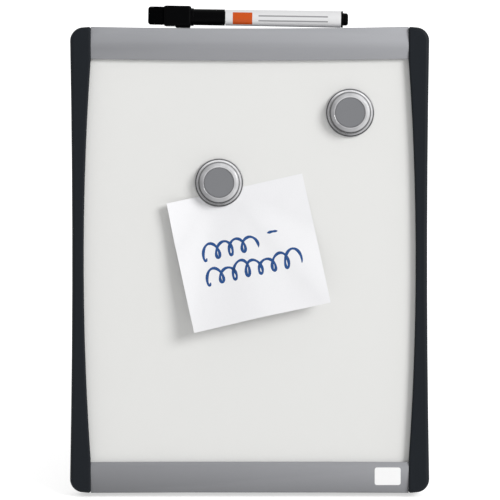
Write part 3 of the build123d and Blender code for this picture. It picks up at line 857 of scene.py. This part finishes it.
def note_point(across, along, proud=0.0):
    """A point on the paper, across and along from its middle, in millimetres, and proud of its underside."""
    away = Vector((across, along)) - PINNED_AT
    slope = lift_slope(math.degrees(math.atan2(-away.y, -away.x)))
    beyond = max(0.0, away.length - PINNED_RADIUS)
    bent = min(beyond, BEND_RUN)
    rise = slope * (bent * bent / (2 * BEND_RUN) + (beyond - bent))
    tilt = slope * bent / BEND_RUN
    reach = away.length - (1 - math.cos(math.atan(slope))) * beyond - proud * tilt
    if away.length > 0:
        away *= reach / away.length
    plan = PINNED_AT + away
    place = on_board(*NOTE_MIDDLE, NOTE_SEAT + rise + proud * math.cos(tilt))
    return place + (note_right * plan.x + note_up * plan.y) * MM


def paper_mesh(columns=48, rows=48):
    """The sheet as a closed shell: two faces and a thin rim."""
    bm = bmesh.new()
    acrosses = [NOTE_WIDTH * (column / columns - 0.5) for column in range(columns + 1)]
    alongs = [NOTE_HEIGHT * (row / rows - 0.5) for row in range(rows + 1)]
    rims = []
    for proud in (0.0, NOTE_THICKNESS):
        grid = [[bm.verts.new(note_point(across, along, proud)) for across in acrosses] for along in alongs]
        fill_grid(bm, grid)
        right_side = [row[-1] for row in grid[1:-1]]
        left_side = [row[0] for row in reversed(grid[1:-1])]
        rims.append(grid[0] + right_side + list(reversed(grid[-1])) + left_side)
    join_rings(bm, *rims)
    return bm


make_piece("note_paper", paper_mesh(), "paper", "note", ["note_sheet"])
corner_rise = board_place(note_point(-NOTE_WIDTH / 2, -NOTE_HEIGHT / 2))[2]
print("lower left corner stands", round(corner_rise, 1), "mm off the board")

# %% [markdown]
# ## Pen strokes on the note
#
# Two rows of loops and a dash stand for handwriting without spelling anything. Each stroke is a thin ribbon
# that follows the paper a few hundredths of a millimetre above it, and swells and thins as a felt pen does.

# %% Draw the loops
STROKE_WIDTH = 1.6
STROKE_PROUD = NOTE_THICKNESS + 0.03
STROKE_SLANT = 0.22
STROKE_SWELL = 0.18
STROKE_BEAT = 0.9
TAPER_START = 0.3
TAPER_POINTS = 3
LOOP_ROWS = (
    # left end, right end, foot of the row, heights of its loops
    (-27.5, 4.5, 1.0, (12.5, 8.0, 10.0, 8.5)),
    (-28.5, 28.0, -14.0, (13.0, 7.5, 8.5, 12.0, 7.5, 8.5, 11.0)),
)
LOOP_SWING = 0.36
RISE_PHASE = 0.7
SWING_PHASE = 2.2
DASH = tuple((14.0 + 0.7 * step, 9.4 + 0.25 * math.sin(0.35 * step)) for step in range(10))


def loop_stroke(left_end, right_end, foot, heights, steps=24):
    """Points of a run of handwriting-like loops, as (across, along) on the paper."""
    points = []
    pitch = (right_end - left_end) / len(heights)
    for step in range(len(heights) * steps + 1):
        share = step / steps
        number = min(int(share), len(heights) - 1)
        after = min(number + 1, len(heights) - 1)
        height = heights[number] + (heights[after] - heights[number]) * (share - number)
        phase = math.tau * share
        tall = height * (0.5 - 0.5 * math.cos(phase - RISE_PHASE))
        swing = pitch * LOOP_SWING * math.sin(phase + SWING_PHASE)
        points.append((left_end + pitch * share + swing + STROKE_SLANT * tall, foot + tall))
    return points


def ribbon_mesh(strokes):
    """Flat ribbons along the strokes, lying on the paper."""
    bm = bmesh.new()
    for points in strokes:
        last = len(points) - 1
        pairs = []
        for number, (across, along) in enumerate(points):
            before, after = (Vector(points[near]) for near in (max(0, number - 1), min(last, number + 1)))
            heading = (after - before).normalized()
            taper = min(1.0, min(number, last - number) / TAPER_POINTS + TAPER_START)
            half = STROKE_WIDTH / 2 * taper * (1.0 + STROKE_SWELL * math.sin(number * STROKE_BEAT))
            aside = Vector((-heading.y, heading.x)) * half
            sides = ((across + sign * aside.x, along + sign * aside.y) for sign in (1, -1))
            pairs.append([bm.verts.new(note_point(*place, STROKE_PROUD)) for place in sides])
        fill_grid(bm, pairs)
    return bm


strokes = [loop_stroke(*row) for row in LOOP_ROWS] + [DASH]
make_piece("note_ink", ribbon_mesh(strokes), "paper", "note", material=blue_ink)
print("strokes:", len(strokes))

# %% [markdown]
# ## Marker and its eraser
#
# The marker lies along the top rail. Its own axis comes from the joint that pulls the cap off. Barrel, end
# plug and cap are turned, and the eraser block is a moulding with generous corners.

# %% Turn the marker
BARREL_LENGTH = 69.6
BARREL_BORE = 3.8
pen_axis = -Vector(joints["cap_pull"]["axis"]).normalized()
pen_up = normal.cross(pen_axis).normalized()
barrel_low, barrel_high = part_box("marker_barrel")
pen_origin = (barrel_low + barrel_high) / 2 - pen_axis * (BARREL_LENGTH / 2 * MM)

barrel_profile = soften(
    (
        (BARREL_BORE, 0.0), (4.86, 0.0), (4.92, 18.0), (5.0, 42.0), (5.05, 60.0), (5.02, BARREL_LENGTH),
        (BARREL_BORE, BARREL_LENGTH),
    ),
    radius=0.3,
    closed=True,
)
plug_profile = soften(
    (
        (0.0, 61.6), (3.75, 61.6), (3.75, BARREL_LENGTH + 0.1), (4.98, BARREL_LENGTH + 0.1), (4.98, 70.8),
        (3.78, 70.9), (3.7, 73.1), (2.9, 73.9), (0.0, 74.0),
    ),
    radius=0.3,
)
cap_profile = soften(
    ((0.0, -31.0), (4.8, -31.0), (4.9, -20.0), (4.92, -0.2), (4.2, -0.2), (4.2, -29.4), (0.0, -29.4)),
    radius=0.25,
)

barrel_mesh = lathe(barrel_profile, pen_origin, pen_axis, normal, closed=True)
make_piece("marker_body", barrel_mesh, "white_barrel", "marker", ["marker_barrel"])
plug_mesh = lathe(plug_profile, pen_origin, pen_axis, normal)
make_piece("marker_end", plug_mesh, "black_gloss", "marker", ["marker_end_plug"])
cap_mesh = lathe(cap_profile, pen_origin, pen_axis, normal)
make_piece("marker_cap_tube", cap_mesh, "black_gloss", "cap", ["marker_cap"])
print("marker's joint:", tuple(round(value, 4) for value in pen_origin))

# %% [markdown]
# The eraser block is a moulded brick with soft corners, a pad below it for the magnet and a collar round the
# cap. The felt is a rounded block whose surface is roughened, because cut felt never has a clean face.

# %% Eraser block and felt
BLOCK = ((-37.0, -5.7, -6.0), (-20.4, 6.5, 6.0))
PAD = ((-30.0, -6.5, -4.8), (-20.8, -1.0, 4.8))
FELT = ((-46.4, -4.9, -4.9), (-36.0, 5.9, 4.9))
FELT_CUTS = 28
FUZZ_HEIGHT = 0.16
FUZZ_SCALES = (1900.0, 4200.0)
FUZZ_SHARE = 0.6
FUZZ_SINK = 0.6


def pen_place(along, height, proud):
    """A point by the marker: along its axis from the joint, above it and proud of it, in millimetres."""
    return pen_origin + (pen_axis * along + pen_up * height + normal * proud) * MM


def soft_box(low, high, corner, cuts=12):
    """A box between two corners in the marker's directions, with evenly rounded edges."""
    bm = bmesh.new()
    bmesh.ops.create_cube(bm, size=2.0)
    bmesh.ops.subdivide_edges(bm, edges=bm.edges, cuts=cuts, use_grid_fill=True)
    middle = (Vector(low) + Vector(high)) / 2
    half = (Vector(high) - Vector(low)) / 2
    for vertex in bm.verts:
        full = Vector(vertex.co[axis] * half[axis] for axis in range(3))
        core = Vector(max(-half[axis] + corner, min(half[axis] - corner, full[axis])) for axis in range(3))
        away = full - core
        if away.length > 0:
            full = core + away.normalized() * corner
        vertex.co = pen_place(*(middle + full))
    return bm


def felt_block():
    """The felt's box with a fuzzy surface that stays inside it."""
    bm = soft_box(*FELT, corner=1.7, cuts=FELT_CUTS)
    bm.normal_update()
    for vertex in bm.verts:
        coarse, fine = (noise.noise(vertex.co * scale) for scale in FUZZ_SCALES)
        vertex.co += vertex.normal * (coarse + FUZZ_SHARE * fine - FUZZ_SINK) * FUZZ_HEIGHT * MM
    return bm


block_mesh = soft_box(*BLOCK, corner=1.3)
make_piece("eraser_grip", block_mesh, "black_gloss", "cap", ["eraser_block"], smooth=60.0)
make_piece("eraser_pad", soft_box(*PAD, corner=0.8), "black_gloss", "cap", smooth=60.0)
collar_points = ((4.7, -20.9), (5.35, -20.9), (5.35, -19.0), (4.7, -18.8))
collar_profile = soften(collar_points, radius=0.35, closed=True)
collar_mesh = lathe(collar_profile, pen_origin, pen_axis, normal, closed=True)
make_piece("eraser_collar", collar_mesh, "black_gloss", "cap", smooth=60.0)
make_piece("eraser_pad_felt", felt_block(), "black_felt", "cap", ["eraser_felt"], smooth=80.0)
print("eraser: block, pad, collar and felt")

# %% [markdown]
# ## Bracket screws
#
# Two pan-head screws hold the hinge's bracket. Each head is a low dome over a short wall, with a cross recess
# cut down into it for the driver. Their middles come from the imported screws.

# %% Turn the screw heads
SCREW_PROFILE = (
    # radius, height over the underside of the head
    (0.4, -6.0), (1.0, -4.8), (1.0, 0.0), (2.1, 0.0), (2.1, 0.85), (1.974, 1.0425), (1.638, 1.2),
)
SCREW_TOP = SCREW_PROFILE[-1][1]
SCREW_STEPS = 32
CROSS_REACH = 1.15
CROSS_HALF = 0.26
CROSS_DEPTH = 0.75
CROSS_TAPER = 0.7
SCREWS = ((-1, 0.35), (1, 1.1))  # side of the board's middle, turn of the recess


def screw_mesh(bm, foot, spin):
    """Add one screw whose head's underside has its middle at foot. The recess is turned by spin."""
    out = -normal
    first = up * math.cos(spin) + right * math.sin(spin)
    second = out.cross(first)

    def spot(x, y, height):
        return bm.verts.new(foot + (first * x + second * y + out * height) * MM)

    turns = [math.tau * step / SCREW_STEPS for step in range(SCREW_STEPS)]
    rings = []
    for radius, height in SCREW_PROFILE:
        rings.append([spot(radius * math.cos(turn), radius * math.sin(turn), height) for turn in turns])
    bm.faces.new(rings[0])
    for near, far in zip(rings, rings[1:]):
        join_rings(bm, near, far)
    corners = []
    for quarter in range(4):
        turn = math.tau * quarter / 4
        for x, y in ((CROSS_REACH, -CROSS_HALF), (CROSS_REACH, CROSS_HALF), (CROSS_HALF, CROSS_HALF)):
            corners.append((x * math.cos(turn) - y * math.sin(turn), x * math.sin(turn) + y * math.cos(turn)))
    mouth = [spot(x, y, SCREW_TOP) for x, y in corners]
    bed = [spot(x * CROSS_TAPER, y * CROSS_TAPER, SCREW_TOP - CROSS_DEPTH) for x, y in corners]
    join_rings(bm, mouth, bed)
    bm.faces.new(bed)
    edges = []
    for ring in (rings[-1], mouth):
        edges += [bm.edges.get((ring[step - 1], ring[step])) for step in range(len(ring))]
    bmesh.ops.triangle_fill(bm, edges=edges, use_beauty=True)


screw_bm = bmesh.new()
screw_points = [vertex.co for vertex in frame["nodes"]["bracket_screws"].data.vertices]
for side, spin in SCREWS:
    points = [point for point in screw_points if (point - board_middle).dot(right) * side > 0]
    low = Vector(min(point.dot(way) for point in points) for way in (right, up, normal))
    high = Vector(max(point.dot(way) for point in points) for way in (right, up, normal))
    middle = (low + high) / 2
    foot = right * middle.x + up * middle.y + normal * (low.z + SCREW_TOP * MM)
    screw_mesh(screw_bm, foot, spin)
make_piece("bracket_screw_pair", screw_bm, "steel", "board", ["bracket_screws"], smooth=35.0)
print("screws:", len(SCREWS))

# %% [markdown]
# ## Plain badge
#
# A small white badge sits at the right end of the bottom rail. It is a thin plate with rounded corners that
# follows the rail's front, found by casting rays onto it, and it carries nothing.

# %% Lay the badge on the rail
BADGE_MIDDLE = (82.8, -129.9)
BADGE_HALF = (7.8, 5.3)
BADGE_CORNER = 1.2
BADGE_THICKNESS = 0.18
BADGE_SINK = 0.05
RAY_START = 50.0


def surface_tree(name):
    """A search tree of a node's mesh."""
    mesh = frame["nodes"][name].data
    points = [vertex.co.copy() for vertex in mesh.vertices]
    return BVHTree.FromPolygons(points, [list(face.vertices) for face in mesh.polygons])


def badge_point(tree, across, along):
    """A point of the badge's front, from the shares -1 to 1 of its half width and half height."""
    offset = Vector((across * BADGE_HALF[0], along * BADGE_HALF[1]))
    limits = [half - BADGE_CORNER for half in BADGE_HALF]
    core = Vector(max(-limit, min(limit, value)) for limit, value in zip(limits, offset))
    away = offset - core
    if away.length > BADGE_CORNER:
        offset = core + away.normalized() * BADGE_CORNER
    start = on_board(BADGE_MIDDLE[0] + offset.x, BADGE_MIDDLE[1] + offset.y, RAY_START)
    return tree.ray_cast(start, -normal)[0] + normal * BADGE_THICKNESS * MM


def badge_mesh(tree, columns=16, rows=12):
    """A plate over a rounded rectangle of the board's plane, raised from the surface below it."""
    bm = bmesh.new()
    acrosses = [2 * column / columns - 1 for column in range(columns + 1)]
    alongs = [2 * row / rows - 1 for row in range(rows + 1)]
    places = [[badge_point(tree, across, along) for across in acrosses] for along in alongs]
    fill_grid(bm, [[bm.verts.new(place) for place in line] for line in places])
    rim = [edge for edge in bm.edges if edge.is_boundary]
    wall = bmesh.ops.extrude_edge_only(bm, edges=rim)["geom"]
    for vertex in (item for item in wall if isinstance(item, bmesh.types.BMVert)):
        vertex.co -= normal * (BADGE_THICKNESS + BADGE_SINK) * MM
    return bm


badge = badge_mesh(surface_tree("bottom_rail"))
make_piece("badge", badge, "white_enamel", "board", smooth=50.0, material=badge_white)
print("badge:", BADGE_HALF[0] * 2, "by", BADGE_HALF[1] * 2, "mm")

# %% [markdown]
# ## The stage
#
# A pale floor, soft light from the upper right, and a bright world. Plain white around the object comes from
# the floor and the world as the camera and polished surfaces see them, and not from more light on the object.

# %% Light and floor
LAMPS = (
    # name, direction as right, up and out of the board's face, size in metres, power in watts
    ("key", (1.0, 0.52, 0.95), 2.2, 162.0),
    ("back", (-0.9, 0.9, -1.0), 3.0, 70.0),
)
LAMP_DISTANCE = 5000.0
FLOOR_SIZE = 12.0
FLOOR_LIFT = 0.55
WORLD_LEVEL = 0.505
WHITE = (1.0, 1.0, 1.0, 1.0)


def seen_share(tree):
    """1 for rays that show the background: from the camera, or by way of gloss or glass."""
    paths = add_node(tree, "LightPath").outputs
    gloss = maths(tree, "MAXIMUM", paths["Is Glossy Ray"], paths["Is Transmission Ray"])
    return maths(tree, "MAXIMUM", paths["Is Camera Ray"], gloss)


def make_world():
    """Soft light of one level from everywhere, which the camera and gloss see as plain white."""
    world = bpy.data.worlds.new("studio")
    world.use_nodes = True
    tree = world.node_tree
    strength = remap(tree, seen_share(tree), wanted=(WORLD_LEVEL, 1.0))
    give(tree, tree.nodes["Background"], Color=WHITE, Strength=strength)
    return world


def make_floor():
    """A wide pale floor that keeps the object's shadow."""
    mesh = bpy.data.meshes.new("floor")
    half = FLOOR_SIZE / 2
    corners = [(-half, -half, 0), (half, -half, 0), (half, half, 0), (-half, half, 0)]
    mesh.from_pydata(corners, [], [(0, 1, 2, 3)])
    material, tree, shader = new_material("floor", Roughness=0.9, Specular_IOR_Level=0.0)
    give(tree, shader, Base_Color=tone(236, 236, 236), Emission_Color=WHITE)
    give(tree, shader, Emission_Strength=maths(tree, "MULTIPLY", seen_share(tree), FLOOR_LIFT))
    mesh.materials.append(material)
    floor = add_object("floor", mesh)


def make_lamp(name, direction, size, power):
    """A large soft lamp that faces the board's middle."""
    lamp = bpy.data.lights.new(name, "AREA")
    lamp.shape = "DISK"
    lamp.size = size
    lamp.energy = power
    light = add_object(name, lamp)
    light.location = on_board(*(Vector(direction).normalized() * LAMP_DISTANCE))
    light.rotation_euler = (light.location - board_middle).to_track_quat("Z", "Y").to_euler()


bpy.context.scene.world = make_world()
make_floor()
for lamp in LAMPS:
    make_lamp(*lamp)
bpy.context.scene.view_settings.view_transform = "Standard"
print("stage: floor, world and two soft lamps")

# %% [markdown]
# ## Dressing the frame's own nodes
#
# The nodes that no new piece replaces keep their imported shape. Modifiers join their triangles into faces and
# round their sharp edges by a fraction of a millimetre, as a mould or a tumbling barrel leaves them.

# %% Dress and soften the nodes
EDGE_RADII = {
    # node, radius of its softened edges in millimetres
    "top_rail": 0.25, "bottom_rail": 0.25, "left_side_rail": 0.3, "right_side_rail": 0.3,
    "support_leg": 0.35, "hinge_bracket": 0.35, "hinge_pin": 0.15, "leg_shoe": 0.6, "frame_feet": 0.6,
}
WELD_REACH = 0.002
FLAT_ANGLE = math.radians(0.2)
SHARP_ANGLE = math.radians(35)
BEVEL_STEPS = 3


def soften_edges(node, radius):
    """Join the node's triangles into faces, then bevel the edges between steep faces."""
    weld = node.modifiers.new("weld", "WELD")
    weld.merge_threshold = WELD_REACH * MM
    faces = node.modifiers.new("faces", "DECIMATE")
    faces.decimate_type = "DISSOLVE"
    faces.angle_limit = FLAT_ANGLE
    bevel = node.modifiers.new("soft edges", "BEVEL")
    bevel.width = radius * MM
    bevel.segments = BEVEL_STEPS
    bevel.limit_method = "ANGLE"
    bevel.angle_limit = SHARP_ANGLE
    bevel.harden_normals = True


slot_of = {part["node"]: part["material_slot"] for part in frame["record"]["subparts"]}
for name, node in frame["nodes"].items():
    node.data.materials.clear()
    node.data.materials.append(materials[slot_of[name]])
    if name in EDGE_RADII:
        soften_edges(node, EDGE_RADII[name])
print("dressed:", len(slot_of), "softened:", len(EDGE_RADII))
